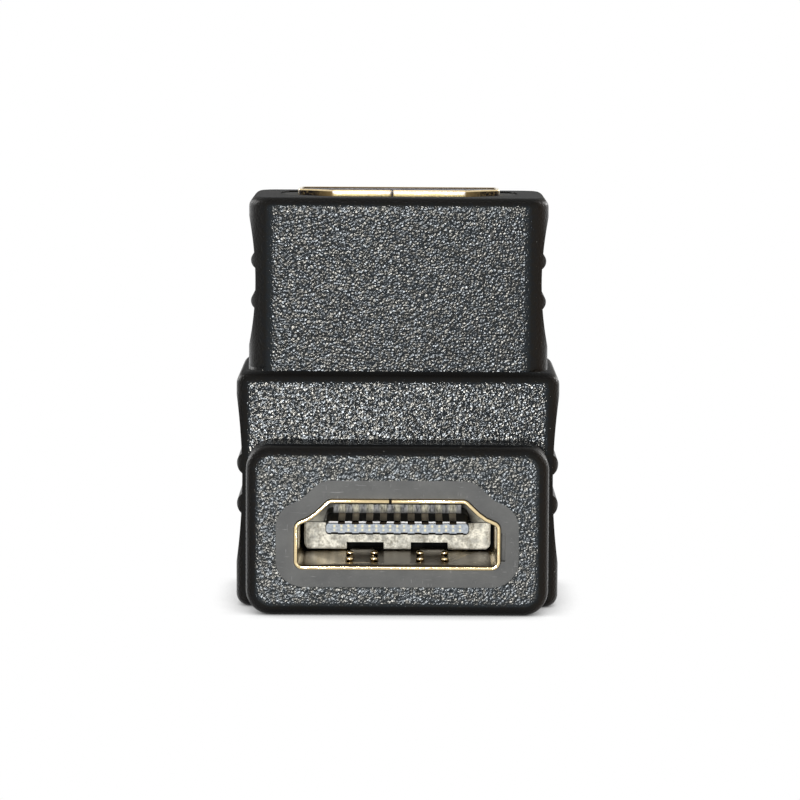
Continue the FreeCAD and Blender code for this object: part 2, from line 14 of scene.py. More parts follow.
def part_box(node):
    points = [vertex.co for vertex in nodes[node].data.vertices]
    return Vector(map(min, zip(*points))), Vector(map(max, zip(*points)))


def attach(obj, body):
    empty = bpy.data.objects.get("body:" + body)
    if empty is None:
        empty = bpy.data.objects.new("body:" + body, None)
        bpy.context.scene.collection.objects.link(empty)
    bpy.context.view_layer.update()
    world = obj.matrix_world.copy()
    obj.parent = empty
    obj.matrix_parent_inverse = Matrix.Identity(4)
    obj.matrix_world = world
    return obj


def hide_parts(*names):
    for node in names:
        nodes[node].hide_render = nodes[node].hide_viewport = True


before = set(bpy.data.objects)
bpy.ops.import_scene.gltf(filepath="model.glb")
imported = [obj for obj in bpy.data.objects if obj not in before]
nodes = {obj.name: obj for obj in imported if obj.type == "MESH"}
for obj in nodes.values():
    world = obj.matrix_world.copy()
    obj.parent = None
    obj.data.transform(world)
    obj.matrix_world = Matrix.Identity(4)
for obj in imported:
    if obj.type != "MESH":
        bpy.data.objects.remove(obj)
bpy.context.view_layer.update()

MM = 0.001

# %% [markdown]
# ## Camera
# A macro photograph of so small a thing is taken from close by with a long lens. The
# front end looks 2 % larger than the back, and the line of sight drops by 6 degrees,
# so the camera stands a good quarter of a metre away, a little above the object.
# It could be aimed by hand, but a measured place and a measured turn can be checked.
# The picture is also turned by a third of a degree, as when a camera is held by hand.

# %% Place the camera
IMAGE_SIDE = 800
FOCAL_PIXELS = 3820
CAMERA_PITCH = math.radians(6.1)
CAMERA_ROLL = math.radians(0.3)
CAMERA_PLACE = Vector((0.15, -279.3, 44.5)) * MM

camera_data = bpy.data.cameras.new("camera")
camera_data.sensor_width = 36.0
camera_data.lens = camera_data.sensor_width * FOCAL_PIXELS / IMAGE_SIDE
camera_data.clip_start = 10 * MM
camera_data.clip_end = 10.0
camera = bpy.data.objects.new("camera", camera_data)
bpy.context.scene.collection.objects.link(camera)
camera.location = CAMERA_PLACE
camera.rotation_mode = "QUATERNION"
tilt = Euler((math.radians(90) - CAMERA_PITCH, 0, 0)).to_quaternion()
camera.rotation_quaternion = tilt @ Quaternion((0, 0, 1), CAMERA_ROLL)
bpy.context.scene.camera = camera
print("lens in mm:", round(camera_data.lens, 1))

# %% [markdown]
# ## How a finish starts
# A finish is a material: a tree of nodes that ends in a shader. Its pattern could be
# painted on an unwrapped picture, but plastic and plating have no picture on them, so
# it is computed from Object coordinates, the place on the piece itself. It then stays
# put from every side.

# %% Start a material
def start_material(name):
    """A material with a Principled shader; returns it, its tree and the shader."""
    material = bpy.data.materials.new(name)
    material.use_nodes = True
    tree = material.node_tree
    place = tree.nodes.new("ShaderNodeTexCoord")
    place.name = "place"
    return material, tree, tree.nodes["Principled BSDF"]


def dress(thing, material):
    """Give an object its only material."""
    thing.data.materials.clear()
    thing.data.materials.append(material)


print("helpers made: start_material, dress")

# %% [markdown]
# ## Patterns
# Real plastic and plating are never quite even. Two patterns are enough for them: soft
# noise for clouds, grain and stripes, and cells for pebbles and specks of dust. Their
# sizes are in millimetres, as they would be measured on the part.

# %% Make noise and cells
def stretched(tree, stretch):
    """Object coordinates scaled along X, Y and Z; returns the vector socket."""
    node = tree.nodes.new("ShaderNodeMapping")
    node.inputs["Scale"].default_value = stretch
    tree.links.new(tree.nodes["place"].outputs["Object"], node.inputs["Vector"])
    return node.outputs["Vector"]


def noise(tree, size_mm, detail=3.0, rough=0.5, stretch=(1, 1, 1)):
    """Soft noise whose spots are about size_mm across; returns its value socket."""
    node = tree.nodes.new("ShaderNodeTexNoise")
    node.inputs["Scale"].default_value = 1.0 / (size_mm * MM)
    node.inputs["Detail"].default_value = detail
    node.inputs["Roughness"].default_value = rough
    tree.links.new(stretched(tree, stretch), node.inputs["Vector"])
    return node.outputs["Fac"]


def cells(tree, size_mm):
    """Cells about size_mm across; returns the distance from each cell's middle."""
    node = tree.nodes.new("ShaderNodeTexVoronoi")
    node.inputs["Scale"].default_value = 1.0 / (size_mm * MM)
    tree.links.new(tree.nodes["place"].outputs["Object"], node.inputs["Vector"])
    return node.outputs["Distance"]


print("patterns made: noise, cells")

# %% [markdown]
# ## Sums
# Every finish below changes from part to part of its piece, and the change is worked
# out by Math nodes. They could be wired one by one, but then the sums are hard to read,
# so these helpers take sockets or plain numbers and return the socket of the result.

# %% Add, multiply and compare
def maths(tree, operation, first, second=0.0):
    """One operation on two sockets or numbers; returns the result socket."""
    node = tree.nodes.new("ShaderNodeMath")
    node.operation = operation
    for slot, value in zip(node.inputs, (first, second)):
        if isinstance(value, (int, float)):
            slot.default_value = value
        else:
            tree.links.new(value, slot)
    return node.outputs["Value"]


def plus(tree, first, second):
    return maths(tree, "ADD", first, second)


def minus(tree, first, second):
    return maths(tree, "SUBTRACT", first, second)


def times(tree, first, second):
    return maths(tree, "MULTIPLY", first, second)


def band(tree, source, low, high):
    """0 where a value is under low, 1 where it is over high; returns the socket."""
    node = tree.nodes.new("ShaderNodeMapRange")
    node.inputs["From Min"].default_value = low
    node.inputs["From Max"].default_value = high
    tree.links.new(source, node.inputs["Value"])
    return node.outputs["Result"]


print("sums made: plus, minus, times, band")

# %% [markdown]
# ## Places and directions
# A sum starts from where a point of the surface is, and from which way the surface
# faces there. Texture Coordinate gives both in the piece's own frame, so nothing
# slides or changes when the view does.

# %% Read places and directions
def coordinate(tree, axis):
    """One Object coordinate in millimetres; returns its socket."""
    split = tree.nodes.new("ShaderNodeSeparateXYZ")
    tree.links.new(tree.nodes["place"].outputs["Object"], split.inputs["Vector"])
    return maths(tree, "DIVIDE", split.outputs[axis], MM)


def facing(tree, axis):
    """How far the surface faces along one axis, from -1 to 1; returns its socket."""
    split = tree.nodes.new("ShaderNodeSeparateXYZ")
    tree.links.new(tree.nodes["place"].outputs["Normal"], split.inputs["Vector"])
    return split.outputs[axis]


print("readings made: coordinate, facing")

# %% [markdown]
# ## Colours and bumps
# A sum ends as a blend of two colours, or as a height. Fine grain could be real
# geometry, but a bump only turns the shading by the slope of a height, which is all
# that shows of a thing a tenth of a millimetre wide, and costs no faces.

# %% Mix colours and raise bumps
def mixed(tree, share, first, second):
    """First colour where share is 0, second where it is 1; returns the colour socket."""
    node = tree.nodes.new("ShaderNodeMix")
    node.data_type = "RGBA"
    tree.links.new(share, node.inputs["Factor"])
    for slot, value in (("A", first), ("B", second)):
        socket = [item for item in node.inputs if item.name == slot and item.type == "RGBA"][0]
        if isinstance(value, tuple):
            socket.default_value = (*value, 1)
        else:
            tree.links.new(value, socket)
    return [item for item in node.outputs if item.type == "RGBA"][0]


def blend(tree, source, low, high, low_colour, high_colour):
    """Blend two colours as a value goes from low to high; returns the colour socket."""
    return mixed(tree, band(tree, source, low, high), low_colour, high_colour)


def bump(tree, shader, height, depth_mm):
    """Raise the surface by depth_mm where height is 1."""
    node = tree.nodes.new("ShaderNodeBump")
    node.inputs["Distance"].default_value = depth_mm * MM
    node.inputs["Strength"].default_value = 1.0
    tree.links.new(height, node.inputs["Height"])
    tree.links.new(node.outputs["Normal"], shader.inputs["Normal"])


print("ends made: mixed, blend, bump")

# %% [markdown]
# ## The grain of the black moulding
# The mould for the outer case was eroded by sparks, so the plastic is covered with
# fine pebbles. Each pebble that faces the lamp glints as a dot. Noise alone gives
# worms of light, so round cells of height make the pebbles, and a soft noise only makes
# them uneven.

# %% Make the grain
PEBBLE_SIZE, GRAIN_SIZE = 0.2, 0.14
GRAIN_DEPTH = 0.036
PEBBLE_SHARE, GRAIN_SHARE = 0.6, 0.54


def grain_height(tree):
    """Height of the grain, in grain depths."""
    pebbles = times(tree, maths(tree, "POWER", cells(tree, PEBBLE_SIZE), 2.0), PEBBLE_SHARE)
    uneven = times(tree, noise(tree, GRAIN_SIZE, detail=0.0), GRAIN_SHARE)
    return minus(tree, uneven, pebbles)


# %% [markdown]
# ## The lean of the walls
# A mould's walls lean a little, so that the part slips out: the photograph shows the
# lower walls a bit brighter than the arm's, as they lean back towards the lamp, and
# the arm fades out towards its left edge, as plastic sinks a little there when it
# sets. Both are too small to model. They are added to the grain as a height that falls
# with Z, and with the square of the reach past the places where the walls sink.

# %% Shape the lean
STUB_TOP, BLOCK_TOP = 12.3, 17.15
ARM_LEAN = (0.0015, 0.0276)
BLOCK_LEAN, STUB_LEAN = 0.05, 0.026
LEFT_SINK, TOP_SINK, BOTTOM_SINK = (-8.3, 0.07), (28.3, 0.04), (1.6, 0.02)  # place, amount


def sunken(tree, past, sink):
    """Height lost at a reach past a place."""
    reach = maths(tree, "MAXIMUM", past, 0.0)
    return times(tree, times(tree, reach, reach), sink)


def wall_lean(tree):
    """Height in grain depths that leans the lower walls back and the arm's forward."""
    up = coordinate(tree, "Z")
    arm = times(tree, minus(tree, times(tree, up, ARM_LEAN[0]), ARM_LEAN[1]), up)
    block = times(tree, maths(tree, "MINIMUM", up, BLOCK_TOP), BLOCK_LEAN)
    stub = times(tree, maths(tree, "MINIMUM", up, STUB_TOP), STUB_LEAN - BLOCK_LEAN)
    on_arm = times(tree, band(tree, up, BLOCK_TOP - 0.2, BLOCK_TOP + 0.2), LEFT_SINK[1])
    lost = plus(tree, block, stub)
    for past, sink in ((minus(tree, LEFT_SINK[0], coordinate(tree, "X")), on_arm),
                       (minus(tree, up, TOP_SINK[0]), TOP_SINK[1]),
                       (minus(tree, BOTTOM_SINK[0], up), BOTTOM_SINK[1])):
        lost = plus(tree, lost, sunken(tree, past, sink))
    return maths(tree, "DIVIDE", minus(tree, arm, lost), GRAIN_DEPTH)


print("lean of the block in degrees:", round(math.degrees(BLOCK_LEAN), 1))

# %% [markdown]
# ## The parts of the case
# The case is one piece, but its parts came out of the mould with slightly different
# skins. They could be told apart by painting faces. Reading the direction and the
# place instead works on every edge, however finely it is meshed.

# %% Tell the case's parts apart
FRONT_FACE = -8.0
LEDGE_HEIGHT = 14.0


def case_parts(tree):
    """Shares from 0 to 1: the socket of each part of the case."""
    square = 0.0
    for axis in "XYZ":
        square = maths(tree, "MAXIMUM", square, maths(tree, "ABSOLUTE", facing(tree, axis)))
    up = coordinate(tree, "Z")
    upwards = band(tree, facing(tree, "Z"), 0.6, 0.95)
    return {
        "flat": band(tree, square, 0.75, 0.97),
        "very flat": band(tree, square, 0.955, 0.995),
        "front": band(tree, coordinate(tree, "Y"), FRONT_FACE, FRONT_FACE - 0.4),
        "low": band(tree, up, BLOCK_TOP + 0.2, BLOCK_TOP - 0.1),
        "top end": times(tree, upwards, band(tree, up, LEDGE_HEIGHT, LEDGE_HEIGHT + 1)),
        "ledge": times(tree, upwards, band(tree, up, LEDGE_HEIGHT, LEDGE_HEIGHT - 1)),
    }


print("the top end lies above", LEDGE_HEIGHT, "mm and the stub's ledge below it")

# %% [markdown]
# ## The colour of the case
# The plastic is black with soot in it. Most of its tones are painted light and shade:
# walls that face forwards get a bluish ground between the glints as painted light, the
# stub's face is painted palest, also as painted light, and the rounded edges fall to
# black as painted shade, with a painted warm light in brown on the right. A few specks
# of dust sit on top, as a macro lens always finds some: small cells, kept only where a
# broad noise is high.

# %% Colour the case
SIDE_BLACK, LIT_WALL_BLACK = (0.0085, 0.0085, 0.0088), (0.007, 0.0095, 0.012)
LIT_FRONT_BLACK = (0.012, 0.015, 0.0175)
EDGE_SHADE_BLACK, EDGE_WARM_LIGHT = (0.0022, 0.0021, 0.002), (0.009, 0.0065, 0.0045)
DUST = (0.25, 0.24, 0.22)
SPECK_SPACING, DRIFT_SIZE = 0.5, 1.7


def case_tone(tree, parts):
    """Colour of the case: painted light and shade, with specks of dust."""
    # Painted light: a bluish ground on walls that face forwards, and a paler one on the stub's face.
    walls = mixed(tree, band(tree, facing(tree, "Y"), -0.5, -0.9), SIDE_BLACK, LIT_WALL_BLACK)
    walls = mixed(tree, parts["front"], walls, LIT_FRONT_BLACK)
    # Painted shade on the rounded edges, and a painted warm light in brown where they face right.
    edges = mixed(tree, band(tree, facing(tree, "X"), 0.2, 0.7), EDGE_SHADE_BLACK, EDGE_WARM_LIGHT)
    specks = band(tree, cells(tree, SPECK_SPACING), 0.11, 0.06)
    drifts = band(tree, noise(tree, DRIFT_SIZE, detail=1.0), 0.6, 0.66)
    clean = mixed(tree, parts["very flat"], edges, walls)
    return mixed(tree, times(tree, specks, drifts), clean, DUST)


print("a black wall reflects this share of the light:", LIT_WALL_BLACK[1])

# %% [markdown]
# ## The gloss of the case
# Grain glints only under a fairly glossy shader: a rough one would smear every glint
# into an even grey. The rounded edges and the ends are duller than the flat sides,
# because the sparks reach them at a slant, and they glint less; the glints of the
# rounded edges also get a dim grey tint, a painted shade that keeps them dark. On the
# flats, some glints are warm and some cool.

# %% Set the case's gloss
EDGE_ROUGHNESS, FLAT_ROUGHNESS = 0.45, 0.2
ROUGHER = {"top end": 0.65, "low": -0.035, "front": 0.055, "ledge": 0.1}
EDGE_GLINT_SHADE, WARM_GLINT, COOL_GLINT = (0.4, 0.36, 0.32), (1.0, 0.97, 0.88), (0.9, 0.96, 1.0)


def case_roughness(tree, parts):
    """Roughness of the case."""
    rough = minus(tree, EDGE_ROUGHNESS, times(tree, parts["flat"], EDGE_ROUGHNESS - FLAT_ROUGHNESS))
    for part, change in ROUGHER.items():
        rough = plus(tree, rough, times(tree, parts[part], change))
    return rough


def case_glint(tree, parts):
    """Colour of the glints, dimmed on the rounded edges as painted shade."""
    shades = blend(tree, noise(tree, 0.35, detail=0.0), 0.42, 0.58, WARM_GLINT, COOL_GLINT)
    return mixed(tree, parts["flat"], EDGE_GLINT_SHADE, shades)


print("roughness of edges and flats:", EDGE_ROUGHNESS, FLAT_ROUGHNESS)

# %% [markdown]
# ## The whole finish of the case
# The parts, the colour, the gloss and the height meet in one shader. The ledge on top
# of the stub is seen at a slant, where grain would draw streaks that the photograph
# doesn't show, so its grain is lower.

# %% Dress the case
LEDGE_SMOOTHING = 0.7


def make_case_finish():
    material, tree, shader = start_material("grained_black_plastic")
    parts = case_parts(tree)
    tree.links.new(case_tone(tree, parts), shader.inputs["Base Color"])
    tree.links.new(case_roughness(tree, parts), shader.inputs["Roughness"])
    tree.links.new(case_glint(tree, parts), shader.inputs["Specular Tint"])
    shader.inputs["Specular IOR Level"].default_value = 0.19
    kept = minus(tree, 1.0, times(tree, parts["ledge"], LEDGE_SMOOTHING))
    grain = times(tree, grain_height(tree), kept)
    bump(tree, shader, plus(tree, grain, wall_lean(tree)), GRAIN_DEPTH)
    return material


case_finish = make_case_finish()
dress(nodes["outer_moulding"], case_finish)
print("finish:", case_finish.name, "nodes:", len(case_finish.node_tree.nodes))

# %% [markdown]
# ## Where the sockets are
# Several finishes change with the depth behind a socket's rim. The rims and the middles
# of both sockets could be typed in, but measured on the shells they stay right if the
# solids change. A line is an axis, the place of its zero and the sense in which it
# grows, in millimetres.

# %% Measure the sockets
front_low, front_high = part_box("front_shell")
top_low, top_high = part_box("top_shell")
rim_y, rim_z = front_low.y / MM, top_high.z / MM
axis_z = (front_low.z + front_high.z) / 2 / MM
axis_y = (top_low.y + top_high.y) / 2 / MM
FRONT_DEPTH, TOP_DEPTH = ("Y", rim_y, 1), ("Z", rim_z, -1)
FRONT_HEIGHT, TOP_HEIGHT = ("Z", axis_z, 1), ("Y", axis_y, -1)


def along(tree, axis, zero, sense):
    """Distance in mm along a line; returns the socket."""
    return times(tree, minus(tree, coordinate(tree, axis), zero), sense)


def distance_aside(tree):
    """Distance in mm from the middle plane; returns the socket."""
    return maths(tree, "ABSOLUTE", coordinate(tree, "X"))


print("rims in mm:", round(rim_y, 2), round(rim_z, 2), "axes:", round(axis_z, 2), round(axis_y, 2))

# %% [markdown]
# ## The smooth grey inner mould
# The inner mould is the same kind of plastic. Its two ends came from a polished tool:
# even, a little paler, with a faint flow pattern and fine handling scratches. Behind
# the spring fingers it is painted black as shade in the recesses, so the colour changes
# with the depth below either end face. The scratches are a noise stretched along one
# direction, cut off so that only its crests are left.

# %% Colour the inner mould
DARK_GREY, PALE_GREY = (0.056, 0.057, 0.056), (0.094, 0.095, 0.091)
SCRATCH, RECESS_SHADE_BLACK = (0.2, 0.2, 0.2), (0.002, 0.002, 0.002)
DEEP_ROUGHNESS, FRONT_ROUGHNESS = 0.95, 0.46
END_FADE = (1.6, 1.2)  # depths behind the rim


def scratches(tree):
    """1 on the scratches, 0 beside them."""
    across = band(tree, noise(tree, 0.1, detail=2.0, stretch=(0.08, 1, 1)), 0.67, 0.74)
    upright = band(tree, noise(tree, 0.1, detail=2.0, stretch=(1, 1, 0.1)), 0.69, 0.75)
    return maths(tree, "MAXIMUM", across, upright)


def make_inner_finish():
    material, tree, shader = start_material("smooth_grey_plastic")
    flow = blend(tree, noise(tree, 2.2, detail=5.0, rough=0.6), 0.3, 0.7, DARK_GREY, PALE_GREY)
    worn = mixed(tree, scratches(tree), flow, SCRATCH)
    front_end = band(tree, along(tree, *FRONT_DEPTH), *END_FADE)
    top_end = band(tree, along(tree, *TOP_DEPTH), *END_FADE)
    # Deeper than either end face the mould is painted black as shade.
    tone = mixed(tree, maths(tree, "MAXIMUM", front_end, top_end), RECESS_SHADE_BLACK, worn)
    tree.links.new(tone, shader.inputs["Base Color"])
    smoother = times(tree, front_end, DEEP_ROUGHNESS - FRONT_ROUGHNESS)
    tree.links.new(minus(tree, DEEP_ROUGHNESS, smoother), shader.inputs["Roughness"])
    shader.inputs["Specular IOR Level"].default_value = 0.2
    bump(tree, shader, noise(tree, 0.16, detail=2.0), 0.004)
    return material


inner_finish = make_inner_finish()
dress(nodes["inner_mould"], inner_finish)
print("finish:", inner_finish.name)

# %% [markdown]
# ## Gold plated sheet
# The shells are thin sheet with a flash of gold: a pale, warm, nearly mirror-bright
# metal with faint rolling marks. Inside the sockets the walls get darker copies of it
# as painted shade: a browner one in the front socket, striped along their length by
# the drawing of the sheet, and a grey one in the top socket; the darkest, brown painted
# shade goes where they are bent or slanted. One recipe with a colour and a roughness
# makes them all, so that they look like one metal.

# %% Make the plating
MARK_SHADE, STRIPE_SHADE = 0.8, 0.45
NOSE_SHADE_BLACK, NOSE_FADE = (0.004, 0.003, 0.002), (1.75, 1.95)


def darker(colour, share):
    return tuple(share * part for part in colour)


def make_gold(name, colour, roughness, drawn=False, nose=None):
    """Gold plating, striped if drawn; nose is the depth line along which the nose near the rim is painted
    black as shade.
    """
    material, tree, shader = start_material(name)
    marks = noise(tree, 0.3, detail=5.0)
    tone = blend(tree, marks, 0.3, 0.75, darker(colour, MARK_SHADE), colour)
    if drawn:
        stripes = band(tree, noise(tree, 0.8, detail=3.0, stretch=(1, 0.07, 0.07)), 0.38, 0.6)
        tone = mixed(tree, stripes, darker(colour, STRIPE_SHADE), tone)
    if nose:
        tone = mixed(tree, band(tree, along(tree, *nose), *NOSE_FADE), NOSE_SHADE_BLACK, tone)
    tree.links.new(tone, shader.inputs["Base Color"])
    shader.inputs["Metallic"].default_value = 1.0
    shader.inputs["Roughness"].default_value = roughness
    bump(tree, shader, marks, 0.004)
    return material


shell_finish = make_gold("gold_plated_sheet", (0.8, 0.64, 0.37), 0.12)
# Painted shade: darker copies of the gold for faces inside the sockets and on bends.
shaded_inside_finish = make_gold("shaded_inner_sheet", (0.62, 0.49, 0.27), 0.22, drawn=True)
far_finish = make_gold("shaded_upright_sheet", (0.1, 0.096, 0.1), 0.25)
shaded_bent_finish = make_gold("shaded_bent_sheet", (0.1, 0.072, 0.038), 0.3)
print("platings:", shell_finish.name, shaded_inside_finish.name, far_finish.name, shaded_bent_finish.name)

# %% [markdown]
# ## The contacts
# The contacts are strips of the same metal, brown in the shade of the socket, and
# black at the nose, where no light falls on them. Each end has its own material only
# because depth is measured along another line there.

# %% Dress the contacts
CONTACT_BROWN = (0.24, 0.165, 0.1)
contact_finishes = {
    "front": make_gold("front_contact_plating", CONTACT_BROWN, 0.35, nose=FRONT_DEPTH),
    "top": make_gold("top_contact_plating", CONTACT_BROWN, 0.35, nose=TOP_DEPTH),
}
contacts = [name for name in nodes if "_contact_" in name]
for name in contacts:
    dress(nodes[name], contact_finishes[name.split("_")[0]])
print("contacts dressed:", len(contacts))

# %% [markdown]
# ## The outside of the upper shell
# Only a strip of the upper shell stands above the case. Where it catches the lamp, a
# painted highlight makes it white at the rim; lower down it is golden and speckled,
# where the plating is worn. Its slanted ends turn away from the lamp, so painted shade
# takes them from brown to black with the distance sideways, with a few painted glints.
# Each tone could have faces of its own, but they fade into each other, so one finish
# reads the depth below the rim and the distance sideways.

# %% Make the strip's plating
STRIP_HALF_WIDTH = 4.8
HIGHLIGHT_FADE, SLANT_SHADE_FADE = (0.36, 0.56), (4.9, 6.3)
STRIP_HIGHLIGHT, STRIP_GOLD, STRIP_WORN = (0.72, 0.7, 0.74), (0.4, 0.33, 0.165), (0.3, 0.235, 0.105)
SLANT_SHADE_BROWN, SLANT_SHADE_BLACK, SLANT_PAINTED_GLINT = (0.22, 0.15, 0.06), (0.012, 0.01, 0.01), (0.2, 0.14, 0.06)


def make_strip_finish():
    material, tree, shader = start_material("worn_sheet_with_painted_light")
    aside = distance_aside(tree)
    specks = noise(tree, 0.22, detail=4.0, rough=0.7)
    uneven_depth = plus(tree, along(tree, *TOP_DEPTH), times(tree, specks, 0.5))
    worn = blend(tree, specks, 0.35, 0.6, STRIP_WORN, STRIP_GOLD)
    # A painted highlight whitens the rim; below it the worn gold shows.
    wall = mixed(tree, band(tree, uneven_depth, *HIGHLIGHT_FADE), STRIP_HIGHLIGHT, worn)
    # Painted shade from brown to black on the slanted ends, with painted glints.
    slant = blend(tree, aside, *SLANT_SHADE_FADE, SLANT_SHADE_BROWN, SLANT_SHADE_BLACK)
    slant = mixed(tree, band(tree, specks, 0.5, 0.7), slant, SLANT_PAINTED_GLINT)
    tone = mixed(tree, band(tree, aside, STRIP_HALF_WIDTH, STRIP_HALF_WIDTH + 0.1), wall, slant)
    tree.links.new(tone, shader.inputs["Base Color"])
    shader.inputs["Metallic"].default_value = 1.0
    shader.inputs["Roughness"].default_value = 0.5
    return material


strip_finish = make_strip_finish()
print("finish:", strip_finish.name)

# %% [markdown]
# ## Shells with rolled edges
# The solids of the shells have sharp edges, but stamping rolls the edges of a sheet,
# and the thin bright line along a socket's rim is that roll. The edges could be
# bevelled by hand one by one. Here each shell is shown by a copy: its loose triangles
# are merged, flat neighbours are joined, and a Bevel modifier rounds what is left of
# sharp edges.

# %% Round the shells' edges
EDGE_ROLL = 0.14
SHARP_ANGLE = math.radians(35)


def select_only(piece):
    bpy.ops.object.select_all(action="DESELECT")
    piece.select_set(True)
    bpy.context.view_layer.objects.active = piece


def rolled_copy(node_name):
    """A copy of a node whose sharp edges are rounded."""
    piece = bpy.data.objects.new(f"{node_name}_rolled", nodes[node_name].data.copy())
    bpy.context.scene.collection.objects.link(piece)
    select_only(piece)
    bpy.ops.object.mode_set(mode="EDIT")
    bpy.ops.mesh.select_all(action="SELECT")
    bpy.ops.mesh.remove_doubles(threshold=0.001 * MM)
    bpy.ops.mesh.dissolve_limited(angle_limit=math.radians(0.5))
    bpy.ops.object.mode_set(mode="OBJECT")
    roll = piece.modifiers.new("roll", "BEVEL")
    roll.width = EDGE_ROLL * MM
    roll.segments = 3
    roll.limit_method = "ANGLE"
    roll.angle_limit = SHARP_ANGLE
    bpy.ops.object.modifier_apply(modifier="roll")
    bpy.ops.object.shade_smooth_by_angle(angle=math.radians(30))
    return piece


shells = {}
for end in ("front", "top"):
    shells[end] = rolled_copy(f"{end}_shell")
    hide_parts(f"{end}_shell")
    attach(shells[end], "root")
    print(shells[end].name, "faces:", len(shells[end].data.polygons))

# %% [markdown]
# ## Which face gets which plating
# The faces are told apart by where they look and how deep they lie: the rim and the
# outside keep the plain gold, faces that look towards the socket's middle get a duller
# painted shade, and the flanks of the rolled edge, the spring fingers and the slanted
# walls outside get a brown painted shade.
# The outside of the upper shell is the worn strip. The faces could be picked by hand,
# but a rule picks the same ones again when the shells change.

# %% Sort the shells' faces
BRIGHT, INNER_SHADE, BROWN_SHADE, STRIP = range(4)
ROLL_DEPTH = 0.3
FINGER_ACROSS, FINGER_HALF_WIDTH, FINGER_START, FINGER_END = 2.54, 1.0, 1.9, 10.1


def plating_of(face, end, middle, axis, rim):
    """Index of the plating of one face; middle is a point on the socket's axis."""
    inwards = Vector(middle) * MM - face.center
    inwards[axis] = 0
    lean = abs(face.normal[axis])
    sideways = abs(face.normal.x)
    depth = abs(face.center[axis] / MM - rim)
    by_finger = abs(abs(face.center.x / MM) - FINGER_ACROSS) < FINGER_HALF_WIDTH
    on_finger = by_finger and FINGER_START < depth < FINGER_END
    inside = lean < 0.3 and face.normal.dot(inwards.normalized()) > 0.1
    upright = not inside and lean < 0.1 and sideways < 0.97
    # The rolled edge's flanks, the fingers and the slanted walls outside get painted shade.
    if 0.1 < lean < 0.8 and depth < ROLL_DEPTH:
        return BROWN_SHADE if end == "front" or face.normal.dot(inwards) > 0 else BRIGHT
    if on_finger and lean < 0.95 and (inside or lean > 0.02):
        return BROWN_SHADE
    if upright and end == "top":
        return STRIP
    if upright and sideways > 0.3:
        return BROWN_SHADE
    return INNER_SHADE if inside else BRIGHT


for end, middle, axis, rim, shade_finish in (("front", (0, 0, axis_z), 1, rim_y, shaded_inside_finish),
                                              ("top", (0, axis_y, 0), 2, rim_z, far_finish)):
    mesh = shells[end].data
    dress(shells[end], shell_finish)
    for finish in (shade_finish, shaded_bent_finish, strip_finish):
        mesh.materials.append(finish)
    for face in mesh.polygons:
        face.material_index = plating_of(face, end, middle, axis, rim)
    counts = [sum(face.material_index == index for face in mesh.polygons) for index in range(4)]
    print(shells[end].name, "faces bright, duller, brown, strip:", counts)

# %% [markdown]
# ## One lip of a spring finger
# The punch curls up a small lip at both sides of each spring finger, one at its foot
# and one at its bend. They are the paired golden glints at the bottom of the socket.
# A lip could be bent from the sheet, but it is only 0.3 mm wide, so a flattened
# ball that sinks into the finger gives the same glint. It is modelled once.

# %% Model a lip
LIP_SIZE = (0.28, 0.16, 0.19)

bpy.ops.object.select_all(action="DESELECT")
bpy.ops.mesh.primitive_uv_sphere_add(segments=16, ring_count=10, radius=MM)
first_lip = bpy.context.object
bpy.ops.object.mode_set(mode="EDIT")
bpy.ops.mesh.select_all(action="SELECT")
bpy.ops.transform.resize(value=LIP_SIZE)
bpy.ops.object.mode_set(mode="OBJECT")
bpy.ops.object.shade_smooth()
print("lip in mm:", [round(side / MM, 2) for side in first_lip.dimensions])

# %% [markdown]
# ## Copies of the lip
# Every lip is a copy with its own mesh. A copy is moved in edit mode, because a
# finished piece's object stays at the origin and has its place in its mesh.

# %% Copy and move a lip
def copy_of(piece):
    """A copy of a piece with its own mesh."""
    twin = piece.copy()
    twin.data = piece.data.copy()
    bpy.context.scene.collection.objects.link(twin)
    return twin


def move_mesh(piece, turn_x, step):
    """Turn a piece's mesh about the X axis and then move it, the object stays put."""
    select_only(piece)
    bpy.ops.object.mode_set(mode="EDIT")
    bpy.ops.mesh.select_all(action="SELECT")
    bpy.ops.transform.rotate(value=turn_x, orient_axis="X", center_override=(0, 0, 0))
    bpy.ops.transform.translate(value=Vector(step) * MM)
    bpy.ops.object.mode_set(mode="OBJECT")


print("the lip's object stays at", tuple(first_lip.location))

# %% [markdown]
# ## The lips of both sockets
# A set is made in the socket's own frame, rim at Y = 0, and then moved into the front
# end, or turned and moved into the top end. Each finger has two lips at its foot and
# two at its bend, and there are two fingers in each long wall.

# %% Set the lips
LIP_ACROSS = 0.88
HALF_OPENING = 2.25
LIPS = ((2.32, 0.17), (3.8, 0.4))  # depth behind the rim, rise above the wall
BOTH_SIDES = (-1, 1)


def lip_places():
    """The place of every lip in the socket's own frame."""
    for depth, rise in LIPS:
        for wall in BOTH_SIDES:
            for finger in BOTH_SIDES:
                for side in BOTH_SIDES:
                    across = finger * FINGER_ACROSS + side * LIP_ACROSS
                    yield across, depth, wall * (HALF_OPENING - rise)


def set_lips(name, turn_x, step):
    """All lips of one socket as one piece."""
    lips = []
    for place in lip_places():
        lips.append(copy_of(first_lip))
        move_mesh(lips[-1], 0, place)
    for lip in lips:
        lip.select_set(True)
    bpy.ops.object.join()
    whole = bpy.context.object
    whole.name = name
    move_mesh(whole, turn_x, step)
    dress(whole, shell_finish)
    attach(whole, "root")
    print(name, "lips:", len(lips))


set_lips("front_finger_lips", 0, (0, rim_y, axis_z))
set_lips("top_finger_lips", math.radians(90), (0, axis_y, rim_z))
bpy.data.objects.remove(first_lip)

